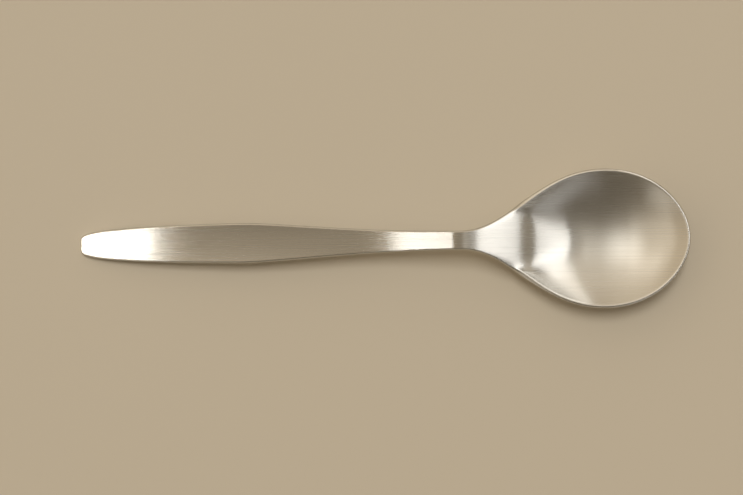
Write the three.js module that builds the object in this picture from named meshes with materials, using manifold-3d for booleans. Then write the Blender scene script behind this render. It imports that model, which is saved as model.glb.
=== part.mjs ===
// Teaspoon: one piece of stainless steel, rolled thinner for the bowl, cut to its outline, pressed to
// shape and brushed along its length. Millimetres. The origin is under the middle of the spoon's length,
// on the surface it lies on. +X runs from the end of the handle to the tip of the bowl, and +Z is up.
import * as THREE from "three";
import { mergeVertices } from "three/addons/utils/BufferGeometryUtils.js";
import Module from "manifold-3d";

// Outline, seen from above
const overallLength = 140;
const bellyFromEnd = 37; // the handle's widest place
const bellyWidth = 9.2;
const endSquareness = 1.29; // powers of the handle's blunt round end
const endBluntness = 0.203;
const neckFromEnd = 87.2; // the handle's narrowest place, under the crest
const neckWidth = 4.3;
const bowlFrontLength = 19.6; // from the bowl's widest place to its tip
const bowlWidth = 31.75;
const bellyPull = 0.185; // shares of each stretch over which the outline holds its direction
const taperPull = 0.443;
const shoulderPull = 0.36;
const flankPull = 0.46;
const frontPull = 0.615;
const tipPull = 0.46;

// Side view: how steeply the upper face climbs from the end of the handle to the crest
const endSlope = 0.13;
const endStraight = 10;
const endEase = 20;
const bellySlope = 0.06;
const liftEase = 16;
const liftSlope = 0.18;
const liftStraight = 8.4;
const crestBend = 1.6;

// Side view: from the crest over the shoulder and down into the bowl
const fallBend = 2.5;
const fallSlope = 0.15; // where the shoulder starts
const steepFromTip = 37.1; // the steepest place, between the shoulder and the bowl
const slopePower = 1.2; // how late the slope grows down to the steepest place
const floorFromTip = 23; // the bowl's lowest place
const frontPower = 2.6; // how late the floor turns up towards the tip
const tipHeight = 8.3;
const rimSlope = 0.04; // the rim sinks evenly from the tip back to the shoulder

// Sections
const shoulderCrown = 0.03; // how far the shoulder's sides drop below its middle, as a slope
const rimBlend = 0.8;
const shoulderPower = 5.5; // how late the section turns up towards its sides
const bowlPower = 2.1;
const handleDish = 0.3;

// Thickness
const endThickness = 1.6;
const bellyThickness = 2.2;
const bellyEdgeThickness = 1.5;
const neckThickness = 2.9;
const neckEdgeThickness = 2.2;
const wallFromNeck = 25; // where the shoulder has thinned to the bowl's wall
const bowlThickness = 1.2;
const rimThickness = 0.95;
const handleEdgeRound = 0.4;
const rimRound = 0.4;
const edgePower = 2.6; // above 2 squares the round of the edges
const restFlatDepth = 0.08; // worn flats under the bowl and the end of the handle

// Fineness of the skin
const endSpacing = 0.45;
const handleSpacing = 2.8;
const crestSpacing = 0.7;
const bowlSpacing = 1.4;
const tipSpacing = 0.8;
const columnsPerSide = 9;
const columnSpread = 0.42; // gathers the columns towards the edges
const edgeSteps = 6;
const curveSteps = 400;

const steelColour = 0xc2bdb2;
const steelRoughness = 0.34;

const bowlWidestFromEnd = overallLength - bowlFrontLength;
const floorFromEnd = overallLength - floorFromTip;
const innerTip = overallLength - rimRound;
const columnTurn = Math.PI * columnSpread;

// Curve helpers
const clamp01 = (value) => Math.min(1, Math.max(0, value));

function ease(value) {
  const t = clamp01(value);
  return t * t * t * (10 - 15 * t + 6 * t * t);
}

function easedThrough(knots, distance) {
  let height = knots[0][1];
  for (let i = 1; i < knots.length; i += 1) {
    const [start, before] = knots[i - 1];
    const [stop, after] = knots[i];
    height += (after - before) * ease((distance - start) / (stop - start));
  }
  return height;
}

function steppedThrough(knots, distance) {
  const next = knots.findIndex((knot) => knot[0] >= distance);
  if (next <= 0) {
    return knots[next < 0 ? knots.length - 1 : 0][1];
  }
  const [start, before] = knots[next - 1];
  const [stop, after] = knots[next];
  return THREE.MathUtils.lerp(before, after, (distance - start) / (stop - start));
}

// Half of the outline, from the end of the handle to the tip of the bowl
function levelCurve(from, to, fromPull, toPull) {
  const run = to.x - from.x;
  return new THREE.CubicBezierCurve(
    from,
    new THREE.Vector2(from.x + fromPull * run, from.y),
    new THREE.Vector2(to.x - toPull * run, to.y),
    to,
  );
}

function outlinePoints() {
  const belly = new THREE.Vector2(bellyFromEnd, bellyWidth / 2);
  const neck = new THREE.Vector2(neckFromEnd, neckWidth / 2);
  const widest = new THREE.Vector2(bowlWidestFromEnd, bowlWidth / 2);
  const tip = new THREE.Vector2(overallLength, 0);
  const points = [];
  for (let i = 0; i < curveSteps; i += 1) {
    const distance = bellyFromEnd * (1 - Math.cos((Math.PI / 2) * (i / curveSteps))) ** 2;
    const roundness = 1 - (1 - distance / bellyFromEnd) ** endSquareness;
    points.push(new THREE.Vector2(distance, belly.y * roundness ** endBluntness));
  }
  const taper = levelCurve(belly, neck, bellyPull, taperPull);
  const flank = levelCurve(neck, widest, shoulderPull, flankPull);
  const front = new THREE.CubicBezierCurve(
    widest,
    new THREE.Vector2(widest.x + frontPull * bowlFrontLength, widest.y),
    new THREE.Vector2(tip.x, tipPull * widest.y),
    tip,
  );
  points.push(...taper.getPoints(curveSteps).slice(0, -1));
  points.push(...flank.getPoints(curveSteps).slice(0, -1));
  points.push(...front.getPoints(curveSteps));
  return points;
}

// Sections along the outline: place, outward direction and the edge's roundness
function stationsAlong(points) {
  const spacing = [
    [0, endSpacing],
    [endStraight, handleSpacing],
    [neckFromEnd - liftEase, handleSpacing],
    [neckFromEnd - crestBend, crestSpacing],
    [neckFromEnd + fallBend, crestSpacing],
    [overallLength - steepFromTip, bowlSpacing],
    [bowlWidestFromEnd, bowlSpacing],
    [overallLength, tipSpacing],
  ];
  const travelled = [0];
  for (let i = 1; i < points.length; i += 1) {
    const step = points[i].distanceTo(points[i - 1]);
    travelled.push(travelled[i - 1] + step / steppedThrough(spacing, points[i].x));
  }
  const last = points.length - 1;
  const count = Math.round(travelled[last]);
  const stations = [];
  let i = 0;
  for (let k = 0; k <= count; k += 1) {
    const goal = (travelled[last] * k) / count;
    while (i < last - 1 && travelled[i + 1] < goal) {
      i += 1;
    }
    const share = clamp01((goal - travelled[i]) / (travelled[i + 1] - travelled[i]));
    const place = points[i].clone().lerp(points[i + 1], share);
    const along = points[Math.min(i + 2, last)].clone().sub(points[Math.max(i - 1, 0)]).normalize();
    const outward = new THREE.Vector2(-along.y, along.x);
    if (k === 0) {
      outward.set(-1, 0);
    }
    if (k === count) {
      outward.set(1, 0);
    }
    const round = edgeRound(place.x);
    const inner = place.addScaledVector(outward, -round);
    stations.push({ distance: inner.x, halfWidth: k % count ? Math.max(inner.y, 0) : 0, round });
  }
  return stations;
}

// Heights of the upper face, as runs that each ease from one slope to the next
function climbed(runs, distance) {
  let height = 0;
  let left = distance;
  for (const [length, from, to] of runs) {
    const t = clamp01(left / length);
    height += length * (from * t + (to - from) * (t ** 3 - t ** 4 / 2));
    left -= length;
  }
  return height;
}

const handleRuns = [
  [endStraight, endSlope, endSlope],
  [endEase, endSlope, bellySlope],
  [neckFromEnd - endStraight - endEase - liftEase - liftStraight - crestBend, bellySlope, bellySlope],
  [liftEase, bellySlope, liftSlope],
  [liftStraight, liftSlope, liftSlope],
  [crestBend, liftSlope, 0],
];

function handleHeight(distance) {
  return endThickness - endSlope * handleEdgeRound + climbed(handleRuns, distance);
}

// The fall from the crest: a bend, a slide that grows steeper and a settling onto the bowl's floor
const crestHeight = handleHeight(neckFromEnd);
const slide = overallLength - steepFromTip - neckFromEnd - fallBend;
const settle = steepFromTip - floorFromTip;
const fallPower = 1 + slopePower;
const fallBeyondSlope = crestHeight - bowlThickness - fallSlope * (fallBend / 2 + slide);
const steepSlope = fallSlope + (fallPower * fallBeyondSlope - fallSlope * settle) / (slide + settle);

function keelHeight(distance) {
  if (distance <= neckFromEnd) {
    return handleHeight(distance);
  }
  const past = distance - neckFromEnd;
  const slid = clamp01((past - fallBend) / slide);
  const settled = clamp01((past - fallBend - slide) / settle);
  const rise = clamp01((distance - floorFromEnd) / (innerTip - floorFromEnd)) ** frontPower;
  let height = crestHeight + climbed([[fallBend, 0, -fallSlope]], past);
  height -= slide * (fallSlope * slid + ((steepSlope - fallSlope) * slid ** fallPower) / fallPower);
  height -= (settle * steepSlope * (1 - (1 - settled) ** fallPower)) / fallPower;
  return height + (tipHeight - bowlThickness) * rise;
}

function higherOf(first, second, blend) {
  const share = clamp01(0.5 + (second - first) / (2 * blend));
  return first + (second - first) * share + blend * share * (1 - share);
}

function edgeHeight(distance, halfWidth) {
  const neckHalf = neckWidth / 2;
  if (distance <= neckFromEnd) {
    const bellyHalf = bellyWidth / 2;
    const spread = (halfWidth ** 2 - neckHalf ** 2) / (bellyHalf ** 2 - neckHalf ** 2);
    return handleHeight(distance) + handleDish * Math.max(0, spread);
  }
  const rim = tipHeight - rimSlope * (innerTip - distance);
  if (distance > floorFromEnd) {
    return rim;
  }
  const crowned = keelHeight(distance) - shoulderCrown * Math.max(0, halfWidth - neckHalf);
  return higherOf(crowned, rim, rimBlend);
}

function sectionPower(distance) {
  if (distance <= neckFromEnd) {
    return bowlPower;
  }
  const flared = ease((distance - neckFromEnd) / (bowlWidestFromEnd - neckFromEnd));
  return THREE.MathUtils.lerp(shoulderPower, bowlPower, flared);
}

// Thickness in the middle and at the edges, and how far the edges are rounded
const wallFromEnd = neckFromEnd + wallFromNeck;
const keelThickness = [
  [0, endThickness],
  [bellyFromEnd, bellyThickness],
  [neckFromEnd, neckThickness],
  [wallFromEnd, bowlThickness],
  [floorFromEnd, bowlThickness],
  [innerTip, rimThickness],
];
const edgeThickness = [
  [0, endThickness],
  [bellyFromEnd, bellyEdgeThickness],
  [neckFromEnd, neckEdgeThickness],
  [wallFromEnd, rimThickness],
];

function edgeRound(distance) {
  return THREE.MathUtils.lerp(handleEdgeRound, rimRound, ease((distance - neckFromEnd) / wallFromNeck));
}

// Sheet at the middle of the edge's thickness, half of it: a row of points for each station, from the
// keel to the edge, each with how far the steel reaches above and below it
function sheetRow(station) {
  const { distance, halfWidth } = station;
  const keel = keelHeight(distance);
  const lift = halfWidth > 0 ? edgeHeight(distance, halfWidth) - keel : 0;
  const power = sectionPower(distance);
  const thin = easedThrough(edgeThickness, distance);
  const extra = halfWidth > 0 ? easedThrough(keelThickness, distance) - thin : 0;
  const above = thin / 2;
  const row = [];
  for (let j = 0; j <= columnsPerSide; j += 1) {
    const across = Math.sin((columnTurn * j) / columnsPerSide) / Math.sin(columnTurn);
    const place = new THREE.Vector3(distance, across * halfWidth, keel + lift * across ** power - above);
    row.push({ place, above, below: above + extra * (1 - across ** 2) });
  }
  return row;
}

function squaredRound(value) {
  return Math.sign(value) * Math.abs(value) ** (2 / edgePower);
}

// One side's ring of each section: upper face from the keel out, round edge, lower face back in
function sideRing(rows, stations, k) {
  const ahead = rows[Math.min(k + 1, rows.length - 1)];
  const behind = rows[Math.max(k - 1, 0)];
  const row = rows[k];
  const closing = k === 0 || k === rows.length - 1;
  const normals = row.map((point, j) => {
    const column = closing ? 0 : j;
    const along = ahead[column].place.clone().sub(behind[column].place);
    const outer = row[Math.min(j + 1, columnsPerSide)].place;
    const across = outer.clone().sub(row[Math.max(j - 1, 0)].place);
    if (j === 0 || closing) {
      across.set(0, 1, 0);
    }
    return along.cross(across).normalize();
  });
  const edge = columnsPerSide;
  const run = ahead[edge].place.clone().sub(behind[edge].place);
  if (closing) {
    run.set(0, k === 0 ? 1 : -1, 0);
  }
  const outward = normals[edge].clone().cross(run).normalize();
  const upper = row.map((point, j) => point.place.clone().addScaledVector(normals[j], point.above));
  const lower = row.map((point, j) => point.place.clone().addScaledVector(normals[j], -point.below));
  const bead = [];
  for (let step = 1; step < edgeSteps; step += 1) {
    const turn = Math.PI / 2 - (Math.PI * step) / edgeSteps;
    const point = row[edge].place.clone();
    point.addScaledVector(outward, stations[k].round * squaredRound(Math.cos(turn)));
    point.addScaledVector(normals[edge], row[edge].above * squaredRound(Math.sin(turn)));
    bead.push(point);
  }
  return [...upper, ...bead, ...lower.reverse()];
}

// Closed skin of the spoon: both sides' rings joined along its length
function spoonSkin() {
  const stations = stationsAlong(outlinePoints());
  const rows = stations.map(sheetRow);
  const positions = [];
  const indices = [];
  let ringSize = 0;
  stations.forEach((station, k) => {
    const side = sideRing(rows, stations, k);
    const mirrored = side.slice(1, -1).reverse().map(({ x, y, z }) => new THREE.Vector3(x, -y, z));
    const ring = [...side, ...mirrored];
    ringSize = ring.length;
    for (const point of ring) {
      positions.push(point.x - overallLength / 2, point.y, point.z - restFlatDepth);
    }
  });
  for (let k = 0; k + 1 < stations.length; k += 1) {
    for (let j = 0; j < ringSize; j += 1) {
      const here = k * ringSize + j;
      const beside = k * ringSize + ((j + 1) % ringSize);
      indices.push(here, here + ringSize, beside + ringSize, here, beside + ringSize, beside);
    }
  }
  const skin = new THREE.BufferGeometry();
  skin.setAttribute("position", new THREE.Float32BufferAttribute(positions, 3));
  skin.setIndex(indices);
  return skin;
}

// Solids for cutting
const wasm = await Module();
wasm.setup();

function solidOf(geometry) {
  const bare = geometry.clone();
  bare.deleteAttribute("normal");
  bare.deleteAttribute("uv");
  const merged = mergeVertices(bare, 1e-4);
  const corners = merged.index.array;
  const triangles = [];
  for (let i = 0; i < corners.length; i += 3) {
    const [a, b, c] = [corners[i], corners[i + 1], corners[i + 2]];
    if (a !== b && b !== c && c !== a) {
      triangles.push(a, b, c);
    }
  }
  const mesh = new wasm.Mesh({
    numProp: 3,
    vertProperties: new Float32Array(merged.attributes.position.array),
    triVerts: new Uint32Array(triangles),
  });
  return new wasm.Manifold(mesh);
}

function geometryOf(solid) {
  const mesh = solid.getMesh();
  const geometry = new THREE.BufferGeometry();
  geometry.setAttribute("position", new THREE.Float32BufferAttribute(mesh.vertProperties, 3));
  geometry.setIndex([...mesh.triVerts]);
  geometry.computeVertexNormals();
  return geometry;
}

// The worn flats: everything below the surface that the spoon lies on is taken off
function spoonGeometry() {
  const below = new THREE.BoxGeometry(2 * overallLength, 2 * bowlWidth, tipHeight);
  below.translate(0, 0, -tipHeight / 2);
  return geometryOf(solidOf(spoonSkin()).subtract(solidOf(below)));
}

const steel = new THREE.MeshStandardMaterial({
  color: steelColour,
  roughness: steelRoughness,
  metalness: 1,
});

const spoon = new THREE.Mesh(spoonGeometry(), steel);
spoon.name = "spoon";

const teaspoon = new THREE.Group();
teaspoon.add(spoon);

export default teaspoon;
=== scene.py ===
import math

import bmesh
import bpy
import numpy as np
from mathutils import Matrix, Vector


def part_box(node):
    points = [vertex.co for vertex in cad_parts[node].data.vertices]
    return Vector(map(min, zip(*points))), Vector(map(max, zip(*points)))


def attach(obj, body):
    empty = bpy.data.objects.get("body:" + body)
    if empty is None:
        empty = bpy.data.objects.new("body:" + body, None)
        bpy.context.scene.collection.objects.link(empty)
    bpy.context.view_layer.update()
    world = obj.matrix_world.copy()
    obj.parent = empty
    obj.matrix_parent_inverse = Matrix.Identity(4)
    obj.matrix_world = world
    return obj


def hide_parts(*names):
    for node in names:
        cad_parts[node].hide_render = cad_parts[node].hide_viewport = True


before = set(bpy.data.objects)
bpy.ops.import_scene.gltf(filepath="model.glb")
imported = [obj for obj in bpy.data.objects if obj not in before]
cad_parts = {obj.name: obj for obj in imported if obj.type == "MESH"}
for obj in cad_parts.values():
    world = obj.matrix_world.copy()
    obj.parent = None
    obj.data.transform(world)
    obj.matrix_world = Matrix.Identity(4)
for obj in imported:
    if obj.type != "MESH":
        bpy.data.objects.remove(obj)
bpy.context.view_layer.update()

cadLow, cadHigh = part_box("spoon")
mmPerMetre = 1000
print("frame loaded, spoon is %.1f mm long" % ((cadHigh.x - cadLow.x) * mmPerMetre))


class Socket:
    # one output socket; arithmetic on it adds the Math nodes
    def __init__(self, tree, output=None):
        self.tree = tree
        self.output = output

    def add(self, kind, settings=None, inputs=None, output=0):
        node = self.tree.nodes.new(kind)
        for name, value in (settings or {}).items():
            setattr(node, name, value)
        for name, value in (inputs or {}).items():
            if isinstance(value, Socket):
                self.tree.links.new(value.output, node.inputs[name])
            else:
                node.inputs[name].default_value = value
        return Socket(self.tree, node.outputs[output] if node.outputs else None)

    def maths(self, operation, first, second):
        return self.add("ShaderNodeMath", {"operation": operation}, {0: first, 1: second})

    def __add__(self, other):
        return self.maths("ADD", self, other)

    def __radd__(self, other):
        return self.maths("ADD", other, self)

    def __sub__(self, other):
        return self.maths("SUBTRACT", self, other)

    def __rsub__(self, other):
        return self.maths("SUBTRACT", other, self)

    def __mul__(self, other):
        return self.maths("MULTIPLY", self, other)

    def __rmul__(self, other):
        return self.maths("MULTIPLY", other, self)

    def smooth(self, low, high, atLow=0.0, atHigh=1.0):
        ends = {"Value": self, "From Min": low, "From Max": high, "To Min": atLow, "To Max": atHigh}
        return self.add("ShaderNodeMapRange", {"interpolation_type": "SMOOTHSTEP"}, ends)

    def stretched(self, scale):
        return self.add("ShaderNodeVectorMath", {"operation": "MULTIPLY"}, {0: self, 1: scale})

    def mixed(self, first, second):
        colours = {"Factor": self, 6: first, 7: second}
        return self.add("ShaderNodeMix", {"data_type": "RGBA"}, colours, output=2)


# photograph's view: straight down, the handle to the left
view = dict(
    frame=(743, 495),
    spoonMiddle=(383.4, 241.3),  # pixel of the middle of the spoon's length
    pixel=0.0002293,  # metres in one pixel at the spoon
    turn=math.radians(-0.75),
    distance=0.45,
    spoonHeight=0.005,
    sensor=0.036,
    nearest=0.01,
)


def makeCamera():
    width, height = view["frame"]
    right = Vector((math.cos(view["turn"]), math.sin(view["turn"]), 0))
    up = Vector((-right.y, right.x, 0))
    middleX, middleY = view["spoonMiddle"]
    offset = right * (middleX - width / 2) + up * (height / 2 - middleY)
    place = -offset * view["pixel"]
    place.z = view["spoonHeight"] + view["distance"]
    data = bpy.data.cameras.new("camera")
    data.sensor_width = view["sensor"] * mmPerMetre
    data.lens = data.sensor_width * view["distance"] / (width * view["pixel"])
    data.clip_start = view["nearest"]
    camera = bpy.data.objects.new("camera", data)
    camera.location = place
    camera.rotation_euler = (0, 0, view["turn"])
    bpy.context.scene.collection.objects.link(camera)
    bpy.context.scene.camera = camera


makeCamera()
print("camera placed")


floor = dict(size=3.0, colour=(0.72, 0.66, 0.56, 1), roughness=0.85)


def makeFloor():
    half = floor["size"] / 2
    corners = [(-half, -half, 0), (half, -half, 0), (half, half, 0), (-half, half, 0)]
    mesh = bpy.data.meshes.new("floor")
    mesh.from_pydata(corners, [], [(0, 1, 2, 3)])
    sheet = bpy.data.objects.new("floor", mesh)
    bpy.context.scene.collection.objects.link(sheet)
    paper = bpy.data.materials.new("palePaper")
    paper.use_nodes = True
    shader = paper.node_tree.nodes["Principled BSDF"]
    shader.inputs["Base Color"].default_value = floor["colour"]
    shader.inputs["Roughness"].default_value = floor["roughness"]
    mesh.materials.append(paper)


makeFloor()
print("floor laid")


# soft boxes: lean is from overhead towards the bowl's tip, back is towards the top of the picture
plainBox = dict(lean=0.0, tilt=0.0, roll=0.0, back=0.0, spread=180.0, forFloor=False)
softBoxes = [
    # lights the floor alone and casts the shadow
    dict(name="keyBox", aim=(0.0, 0.0, 0.0), tilt=-17.0, back=0.92, distance=3.0,
         size=(0.6, 1.2), glow=14.6, tint=(1.0, 0.96, 0.88), forFloor=True),
    # white band and shoulder, then their paler run towards the lower rim
    dict(name="rightBox", aim=(0.035, 0.0, 0.005), lean=41.4, roll=8.0, back=0.095, distance=0.7,
         size=(0.505, 0.26), glow=2.4, tint=(1.0, 0.99, 0.97)),
    dict(name="upperBox", aim=(0.035, 0.0, 0.005), lean=35.6, roll=10.0, back=0.54, distance=0.7,
         size=(0.42, 0.62), glow=1.0, tint=(1.0, 0.99, 0.97)),
    dict(name="farBox", aim=(0.04, 0.0, 0.005), lean=52.4, tilt=-90.0, roll=-52.4, back=0.69,
         distance=0.442, size=(0.38, 0.45), glow=0.85, tint=(1.0, 0.98, 0.93)),
    # pale upper left of the bowl
    dict(name="lowBox", aim=(0.04, 0.0, 0.005), lean=52.0, tilt=60.0, back=-0.60, distance=0.52,
         size=(0.40, 0.70), glow=0.27, tint=(0.97, 0.98, 1.0)),
    # brown of the dark band
    dict(name="sideBox", aim=(0.035, 0.0, 0.005), lean=74.0, back=0.33, distance=0.8,
         size=(0.30, 0.58), glow=0.48, tint=(1.0, 0.88, 0.70)),
    # front of the bowl
    dict(name="leftBox", aim=(0.05, 0.0, 0.005), lean=-39.3, back=0.5, distance=2.0,
         size=(1.51, 3.0), glow=0.26, tint=(1.0, 0.96, 0.87)),
    dict(name="cornerBox", aim=(0.05, 0.0, 0.005), lean=-65.0, tilt=90.0, roll=-65.0, back=-0.61,
         distance=0.6, size=(0.42, 0.36), glow=0.4, tint=(1.0, 0.95, 0.86)),
    # floor of the bowl and the soft glow in it
    dict(name="overBox", aim=(0.05, 0.0, 0.005), lean=10.5, back=0.1, distance=1.0,
         size=(0.22, 0.7), glow=0.30, tint=(1.0, 0.96, 0.87)),
    dict(name="bowlBox", aim=(0.0497, 0.0, 0.005), lean=-10.7, tilt=-12.0, back=0.012,
         distance=0.0509, size=(0.0295, 0.056), glow=0.097, tint=(1.0, 0.98, 0.92), spread=50.0),
    # white end of the handle, and white neck
    dict(name="tipStrip", aim=(-0.065, 0.0, 0.004), lean=-22.5, distance=0.3,
         size=(0.05, 0.10), glow=0.078, tint=(1.0, 0.99, 0.97), spread=11.3),
    dict(name="neckStrip", aim=(0.010, 0.0, 0.008), lean=-19.5, distance=0.2,
         size=(0.03, 0.07), glow=0.027, tint=(1.0, 0.99, 0.97), spread=6.0),
    # lower wall of the bowl
    dict(name="backBox", aim=(0.0, 0.0, 0.005), back=0.75, distance=0.6,
         size=(1.4, 0.9), glow=0.29, tint=(1.0, 0.96, 0.89)),
]
surround = dict(
    dark=(0.14, 0.116, 0.083, 1),
    pale=(0.70, 0.57, 0.40, 1),
    turn=(-0.62, 0.55, 0.0),  # the pale side is at the back, a little to the left
    fade=(-0.36, 0.76),
)


def makeSoftBox(box):
    lean = math.radians(box["lean"])
    data = bpy.data.lights.new(box["name"], "AREA")
    data.shape = "RECTANGLE"
    data.size, data.size_y = box["size"]
    data.energy = box["glow"] * math.pi * data.size * data.size_y
    data.color = box["tint"]
    data.spread = math.radians(box["spread"])
    lamp = bpy.data.objects.new(box["name"], data)
    away = Vector((math.sin(lean), 0, math.cos(lean))) * box["distance"]
    lamp.location = Vector(box["aim"]) + away + Vector((0, box["back"], 0))
    lamp.rotation_mode = "ZXY"
    lamp.rotation_euler = (math.radians(box["tilt"]), lean, math.radians(box["roll"]))
    lamp.visible_glossy = not box["forFloor"]  # the panels shape the steel's reflections
    lamp.visible_diffuse = box["forFloor"]  # the key light casts the shadow
    bpy.context.scene.collection.objects.link(lamp)


def makeSurround():
    world = bpy.data.worlds.new("surround")
    bpy.context.scene.world = world
    world.use_nodes = True
    tree = world.node_tree
    tree.nodes.clear()
    direction = Socket(tree).add("ShaderNodeTexCoord", output="Generated")
    sides = {0: direction, 1: surround["turn"]}
    towardsPale = direction.add("ShaderNodeVectorMath", {"operation": "DOT_PRODUCT"}, sides, "Value")
    pale = towardsPale.smooth(*surround["fade"])
    colour = pale.mixed(surround["dark"], surround["pale"])
    glow = colour.add("ShaderNodeBackground", inputs={"Color": colour})
    glow.add("ShaderNodeOutputWorld", inputs={"Surface": glow})


for box in softBoxes:
    makeSoftBox({**plainBox, **box})
makeSurround()
print("soft boxes and surround lit")


# sizes of the one-piece spoon in metres, along it from the end of the handle
spoon = dict(
    overallLength=0.140,
    bellyFromEnd=0.037,
    bellyWidth=0.0092,
    endSquareness=1.29,
    endBluntness=0.203,
    neckFromEnd=0.0872,
    neckWidth=0.0043,
    bowlFrontLength=0.0196,
    bowlWidth=0.03175,
    bellyPull=0.185,
    taperPull=0.443,
    shoulderPull=0.36,
    flankPull=0.46,
    frontPull=0.615,
    tipPull=0.46,
    endSlope=0.13,
    endStraight=0.010,
    endEase=0.020,
    bellySlope=0.06,
    liftEase=0.016,
    liftSlope=0.18,
    liftStraight=0.0084,
    crestBend=0.0016,
    fallBend=0.0025,
    fallSlope=0.15,
    steepFromTip=0.0371,
    slopePower=1.2,
    floorFromTip=0.0230,
    tipHeight=0.0083,
    rimSlope=0.040,
    rimBlend=0.0008,
    shoulderCrown=0.03,
    frontPower=2.6,
    shoulderPower=5.5,
    bowlPower=2.1,
    flankPower=7.0,  # keeps the shoulder flatter, right up to the rim
    flankFromEnd=0.097,
    flankSpread=0.0055,
    handleDish=0.0003,
    endThickness=0.0016,
    bellyThickness=0.0022,
    bellyEdgeThickness=0.0015,
    neckThickness=0.0029,
    neckEdgeThickness=0.0022,
    wallFromNeck=0.025,
    bowlThickness=0.0012,
    rimThickness=0.00095,
    handleEdgeRound=0.0004,
    rimRound=0.0006,
    edgePower=2.6,
    restFlatDepth=0.00008,
    stations=330,
    columns=56,
    edgeSteps=14,
    columnSpread=0.42,
    fineness=(5, 1, 1, 2.2, 2.2, 1.6, 1.6, 3),  # how close the stations are, from the end to the tip
    curveSteps=4000,
    weldGap=2e-7,
    sliverGap=1e-8,
)
spoonLength = spoon["overallLength"]
bowlHalf = spoon["bowlWidth"] / 2
widestFromEnd = spoonLength - spoon["bowlFrontLength"]
floorFromEnd = spoonLength - spoon["floorFromTip"]
innerTip = spoonLength - spoon["rimRound"]
wallFromEnd = spoon["neckFromEnd"] + spoon["wallFromNeck"]


def ease(value):
    t = np.clip(value, 0, 1)
    return t**3 * (10 - 15 * t + 6 * t * t)


def easedThrough(knots, distance):
    height = knots[0][1]
    for (start, before), (stop, after) in zip(knots, knots[1:]):
        height = height + (after - before) * ease((distance - start) / (stop - start))
    return height


def bezier(points):
    t = np.linspace(0, 1, spoon["curveSteps"])[:, None]
    a, b, c, d = [np.array(point) for point in points]
    return (1 - t) ** 3 * a + 3 * (1 - t) ** 2 * t * b + 3 * (1 - t) * t**2 * c + t**3 * d


def levelCurve(start, stop, startPull, stopPull):
    run = stop[0] - start[0]
    leaving = (start[0] + startPull * run, start[1])
    arriving = (stop[0] - stopPull * run, stop[1])
    return bezier([start, leaving, arriving, stop])


def outlinePoints():
    belly = (spoon["bellyFromEnd"], spoon["bellyWidth"] / 2)
    neck = (spoon["neckFromEnd"], spoon["neckWidth"] / 2)
    widest = (widestFromEnd, bowlHalf)
    turn = np.linspace(0, math.pi / 2, spoon["curveSteps"])
    fromEnd = belly[0] * (1 - np.cos(turn)) ** 2
    roundness = 1 - (1 - fromEnd / belly[0]) ** spoon["endSquareness"]
    end = np.stack([fromEnd, belly[1] * roundness ** spoon["endBluntness"]], 1)
    taper = levelCurve(belly, neck, spoon["bellyPull"], spoon["taperPull"])
    flank = levelCurve(neck, widest, spoon["shoulderPull"], spoon["flankPull"])
    front = bezier([
        widest,
        (widest[0] + spoon["frontPull"] * spoon["bowlFrontLength"], widest[1]),
        (spoonLength, spoon["tipPull"] * widest[1]),
        (spoonLength, 0),
    ])
    return np.concatenate([end[:-1], taper[:-1], flank[:-1], front])


def edgeRound(distance):
    thinning = ease((distance - spoon["neckFromEnd"]) / spoon["wallFromNeck"])
    return spoon["handleEdgeRound"] + (spoon["rimRound"] - spoon["handleEdgeRound"]) * thinning


def stationsAlong(points):
    steps = np.linalg.norm(np.diff(points, axis=0), axis=1)
    places = (points[1:, 0] + points[:-1, 0]) / 2
    knots = [0, spoon["endStraight"], spoon["neckFromEnd"] - spoon["liftEase"],
             spoon["neckFromEnd"] - spoon["crestBend"], spoon["neckFromEnd"] + spoon["crestBend"],
             spoon["neckFromEnd"] + spoon["liftEase"], widestFromEnd, spoonLength]
    fineness = np.interp(places, knots, spoon["fineness"])
    travelled = np.concatenate([[0], np.cumsum(steps * fineness)])
    goals = np.linspace(0, travelled[-1], spoon["stations"])
    place = np.stack([np.interp(goals, travelled, points[:, i]) for i in (0, 1)], 1)
    tangent = np.gradient(points, axis=0)
    tangent = tangent / np.linalg.norm(tangent, axis=1)[:, None]
    along = np.stack([np.interp(goals, travelled, tangent[:, i]) for i in (0, 1)], 1)
    along[0] = (0, 1)
    along[-1] = (0, -1)
    along = along / np.linalg.norm(along, axis=1)[:, None]
    outward = np.stack([-along[:, 1], along[:, 0]], 1)
    rounds = edgeRound(place[:, 0])
    inner = place - outward * rounds[:, None]
    inner[:, 1] = np.maximum(inner[:, 1], 0)
    inner[[0, -1], 1] = 0
    return inner[:, 0], inner[:, 1], rounds


def climbed(runs, distance):
    # height gained over runs of the upper face, each easing from one slope to the next
    height = 0.0
    for length, before, after in runs:
        t = np.clip(distance / length, 0, 1)
        height = height + length * (before * t + (after - before) * (t**3 - t**4 / 2))
        distance = distance - length
    return height


def handleHeight(distance):
    belly = spoon["neckFromEnd"] - spoon["endStraight"] - spoon["endEase"]
    belly -= spoon["liftEase"] + spoon["liftStraight"] + spoon["crestBend"]
    climb = [
        (spoon["endStraight"], spoon["endSlope"], spoon["endSlope"]),
        (spoon["endEase"], spoon["endSlope"], spoon["bellySlope"]),
        (belly, spoon["bellySlope"], spoon["bellySlope"]),
        (spoon["liftEase"], spoon["bellySlope"], spoon["liftSlope"]),
        (spoon["liftStraight"], spoon["liftSlope"], spoon["liftSlope"]),
        (spoon["crestBend"], spoon["liftSlope"], 0),
    ]
    return spoon["endThickness"] - spoon["endSlope"] * spoon["handleEdgeRound"] + climbed(climb, distance)


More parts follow.
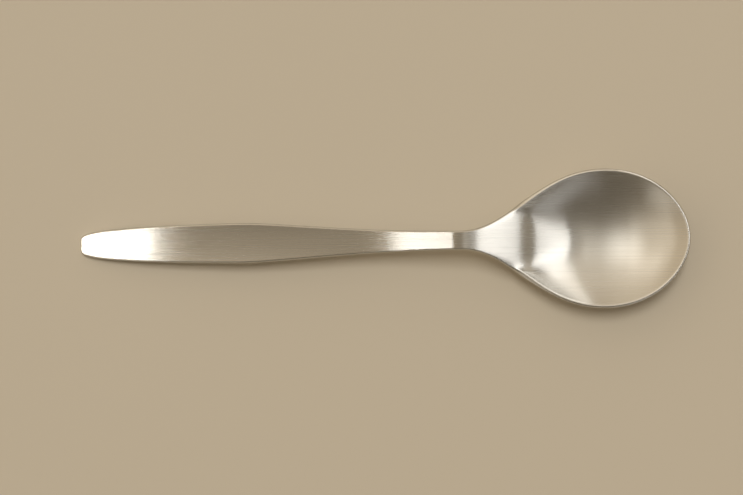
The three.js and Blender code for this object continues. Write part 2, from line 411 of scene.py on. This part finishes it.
def keelHeight(distance):
    crest = handleHeight(np.array(spoon["neckFromEnd"]))
    bend, slope, power = spoon["fallBend"], spoon["fallSlope"], 1 + spoon["slopePower"]
    slide = spoonLength - spoon["steepFromTip"] - spoon["neckFromEnd"] - bend
    settle = spoon["steepFromTip"] - spoon["floorFromTip"]
    drop = crest - spoon["bowlThickness"] - slope * (bend / 2 + slide)
    steep = slope + (power * drop - slope * settle) / (slide + settle)
    past = distance - spoon["neckFromEnd"]
    slid = np.clip((past - bend) / slide, 0, 1)
    settled = np.clip((past - bend - slide) / settle, 0, 1)
    rise = np.clip((distance - floorFromEnd) / (innerTip - floorFromEnd), 0, 1) ** spoon["frontPower"]
    bowl = crest + climbed([(bend, 0, -slope)], past)
    bowl = bowl - slide * (slope * slid + (steep - slope) * slid**power / power)
    bowl = bowl - settle * steep * (1 - (1 - settled) ** power) / power
    bowl = bowl + (spoon["tipHeight"] - spoon["bowlThickness"]) * rise
    return np.where(distance <= spoon["neckFromEnd"], handleHeight(distance), bowl)


def higherOf(first, second, blend):
    share = np.clip(0.5 + (second - first) / (2 * blend), 0, 1)
    return first + (second - first) * share + blend * share * (1 - share)


def edgeHeight(distance, halfWidth):
    neckHalf = spoon["neckWidth"] / 2
    bellyHalf = spoon["bellyWidth"] / 2
    spread = (halfWidth**2 - neckHalf**2) / (bellyHalf**2 - neckHalf**2)
    handle = handleHeight(distance) + spoon["handleDish"] * np.maximum(0, spread)
    crowned = keelHeight(distance) - spoon["shoulderCrown"] * np.maximum(0, halfWidth - neckHalf)
    rim = spoon["tipHeight"] - spoon["rimSlope"] * (innerTip - distance)
    shoulder = higherOf(crowned, rim, spoon["rimBlend"])
    bowl = np.where(distance <= floorFromEnd, shoulder, rim)
    return np.where(distance <= spoon["neckFromEnd"], handle, bowl)


def keelThickness(distance):
    return easedThrough([
        (0, spoon["endThickness"]),
        (spoon["bellyFromEnd"], spoon["bellyThickness"]),
        (spoon["neckFromEnd"], spoon["neckThickness"]),
        (wallFromEnd, spoon["bowlThickness"]),
        (floorFromEnd, spoon["bowlThickness"]),
        (innerTip, spoon["rimThickness"]),
    ], distance)


def edgeThickness(distance):
    return easedThrough([
        (0, spoon["endThickness"]),
        (spoon["bellyFromEnd"], spoon["bellyEdgeThickness"]),
        (spoon["neckFromEnd"], spoon["neckEdgeThickness"]),
        (wallFromEnd, spoon["rimThickness"]),
    ], distance)


def unit(vectors):
    length = np.linalg.norm(vectors, axis=-1, keepdims=True)
    return vectors / np.where(length > 0, length, 1)


def spoonSkin():
    # middle of the sheet on one side: rows along the spoon, columns from the keel to the edge
    distance, halfWidth, rounds = stationsAlong(outlinePoints())
    spread = math.pi * spoon["columnSpread"]
    across = np.sin(spread * np.linspace(0, 1, spoon["columns"] + 1)) / math.sin(spread)
    keel = keelHeight(distance)[:, None]
    edge = edgeHeight(distance, halfWidth)[:, None]
    edge[[0, -1]] = keel[[0, -1]]
    thick = keelThickness(distance)[:, None]
    thin = edgeThickness(distance)[:, None]
    thick[[0, -1]] = thin[[0, -1]]
    flared = ease((distance - spoon["neckFromEnd"]) / (widestFromEnd - spoon["neckFromEnd"]))[:, None]
    power = spoon["shoulderPower"] + (spoon["bowlPower"] - spoon["shoulderPower"]) * flared
    flank = (distance - spoon["flankFromEnd"]) / spoon["flankSpread"]
    power = power + spoon["flankPower"] * np.exp(-flank**2)[:, None]
    power[distance <= spoon["neckFromEnd"]] = spoon["bowlPower"]
    upper = keel + (edge - keel) * across**power
    above = thin / 2
    below = above + (thick - thin) * (1 - across**2)
    sheet = np.stack([
        np.repeat(distance[:, None], len(across), 1),
        halfWidth[:, None] * across,
        upper - above,
    ], 2)

    # directions: up out of the sheet, and outward at its edge
    along = np.gradient(sheet, axis=0)
    along[[0, -1]] = along[[0, -1], :1]
    sideways = np.gradient(sheet, axis=1)
    sideways[:, 0] = (0, 1, 0)
    sideways[[0, -1]] = (0, 1, 0)
    normal = unit(np.cross(along, sideways))
    run = along[:, -1].copy()
    run[0] = (0, 1, 0)
    run[-1] = (0, -1, 0)
    outward = unit(np.cross(normal[:, -1], run))

    # ring of each station: upper face, round edge, lower face, and the same mirrored
    turns = math.pi / 2 - math.pi * np.arange(1, spoon["edgeSteps"]) / spoon["edgeSteps"]
    squareness = 2 / spoon["edgePower"]
    out = np.cos(turns) ** squareness
    up = np.sign(np.sin(turns)) * np.abs(np.sin(turns)) ** squareness
    bead = sheet[:, -1:] + outward[:, None] * (rounds[:, None] * out)[:, :, None]
    bead = bead + normal[:, -1:] * (above * up)[:, :, None]
    top = sheet + normal * above[:, :, None]
    bottom = sheet - normal * below[:, :, None]
    side = np.concatenate([top, bead, bottom[:, ::-1]], 1)
    other = side[:, -2:0:-1] * (1, -1, 1)
    rings = np.concatenate([side, other], 1)
    rings[:, :, 2] = np.maximum(rings[:, :, 2] - spoon["restFlatDepth"], 0)

    # the fine skin fills the same box as the part
    low, high = rings.min((0, 1)), rings.max((0, 1))
    return np.array(cadLow) + (rings - low) * np.array(cadHigh - cadLow) / (high - low)


def makeSpoon():
    rings = spoonSkin()
    count, size = rings.shape[:2]
    here = np.arange(count - 1)[:, None] * size + np.arange(size)
    beside = np.arange(count - 1)[:, None] * size + (np.arange(size) + 1) % size
    faces = np.stack([here, here + size, beside + size, beside], 2).reshape(-1, 4)
    mesh = bpy.data.meshes.new("spoon")
    mesh.from_pydata(rings.reshape(-1, 3).tolist(), [], faces.tolist())
    closeEnds(mesh)
    mesh.polygons.foreach_set("use_smooth", [True] * len(mesh.polygons))
    piece = bpy.data.objects.new("brushedSpoon", mesh)
    bpy.context.scene.collection.objects.link(piece)
    return piece


def closeEnds(mesh):
    # both ends' rings fold onto themselves, so their doubled points are welded
    skin = bmesh.new()
    skin.from_mesh(mesh)
    bmesh.ops.remove_doubles(skin, verts=skin.verts, dist=spoon["weldGap"])
    bmesh.ops.dissolve_degenerate(skin, edges=skin.edges, dist=spoon["sliverGap"])
    skin.to_mesh(mesh)
    skin.free()


brushing = dict(
    colour=(0.70, 0.685, 0.65, 1),
    darkLine=(0.66, 0.645, 0.61, 1),
    fine=(22.0, 9000.0, 0.0),  # streaks per metre along and across the spoon
    wide=(10.0, 2200.0, 0.0),
    fineShare=0.6,
    wideShare=0.4,
    fineDetail=3.0,
    wideDetail=2.0,
    middle=0.5,  # noise level between two streaks
    edgeFade=(0.12, 0.45),  # the narrow edges are plain
    bowlFade=(0.004, 0.020),  # where the brushing turns finer, along the spoon
    bowlDepth=0.58,
    lineFade=(0.35, 0.68),
    roughness=(0.255, 0.275),
    anisotropy=0.89,
    bumpDepth=0.00000025,
    bumpStrength=0.6,
    farCentre=(-10, 0, 0),
)


def brushStreaks(place, perMetre, detail):
    pattern = {"Vector": place.stretched(perMetre), "Scale": 1.0, "Detail": detail}
    return place.add("ShaderNodeTexNoise", {"noise_dimensions": "2D"}, pattern)


def brushedSteel():
    steel = bpy.data.materials.new("brushedSteel")
    steel.use_nodes = True
    tree = steel.node_tree
    shader = tree.nodes["Principled BSDF"]
    place = Socket(tree).add("ShaderNodeTexCoord", output="Object")
    fine = brushStreaks(place, brushing["fine"], brushing["fineDetail"])
    wide = brushStreaks(place, brushing["wide"], brushing["wideDetail"])
    facing = place.add("ShaderNodeTexCoord", output="Normal")
    upright = facing.add("ShaderNodeSeparateXYZ", inputs={"Vector": facing}, output="Z")
    flat = (upright * upright).smooth(*brushing["edgeFade"])
    along = place.add("ShaderNodeSeparateXYZ", inputs={"Vector": place}, output="X")
    depth = along.smooth(*brushing["bowlFade"], 1.0, brushing["bowlDepth"])
    middle = brushing["middle"]
    streak = fine * brushing["fineShare"] + wide * brushing["wideShare"] - middle
    streak = streak * flat * depth + middle
    line = streak.smooth(*brushing["lineFade"])
    colour = line.mixed(brushing["darkLine"], brushing["colour"])
    low, high = brushing["roughness"]
    rough = line.smooth(0, 1, high, low)
    relief = {"Height": streak, "Strength": brushing["bumpStrength"], "Distance": brushing["bumpDepth"]}
    bump = place.add("ShaderNodeBump", None, relief)
    for name, value in (("Base Color", colour), ("Roughness", rough), ("Normal", bump)):
        tree.links.new(value.output, shader.inputs[name])
    shader.inputs["Metallic"].default_value = 1.0
    shader.inputs["Anisotropic"].default_value = brushing["anisotropy"]
    return steel


def setBrushDirection(mesh):
    # the far-off texture space makes the shader's default tangent run straight across the spoon
    mesh.use_auto_texspace = False
    mesh.texspace_location = brushing["farCentre"]
    mesh.texspace_size = (1, 1, 1)


spoonPiece = makeSpoon()
setBrushDirection(spoonPiece.data)
spoonPiece.data.materials.append(brushedSteel())
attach(spoonPiece, "root")
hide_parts("spoon")
print("spoon made, %d faces" % len(spoonPiece.data.polygons))

bpy.context.scene.view_settings.view_transform = "Standard"
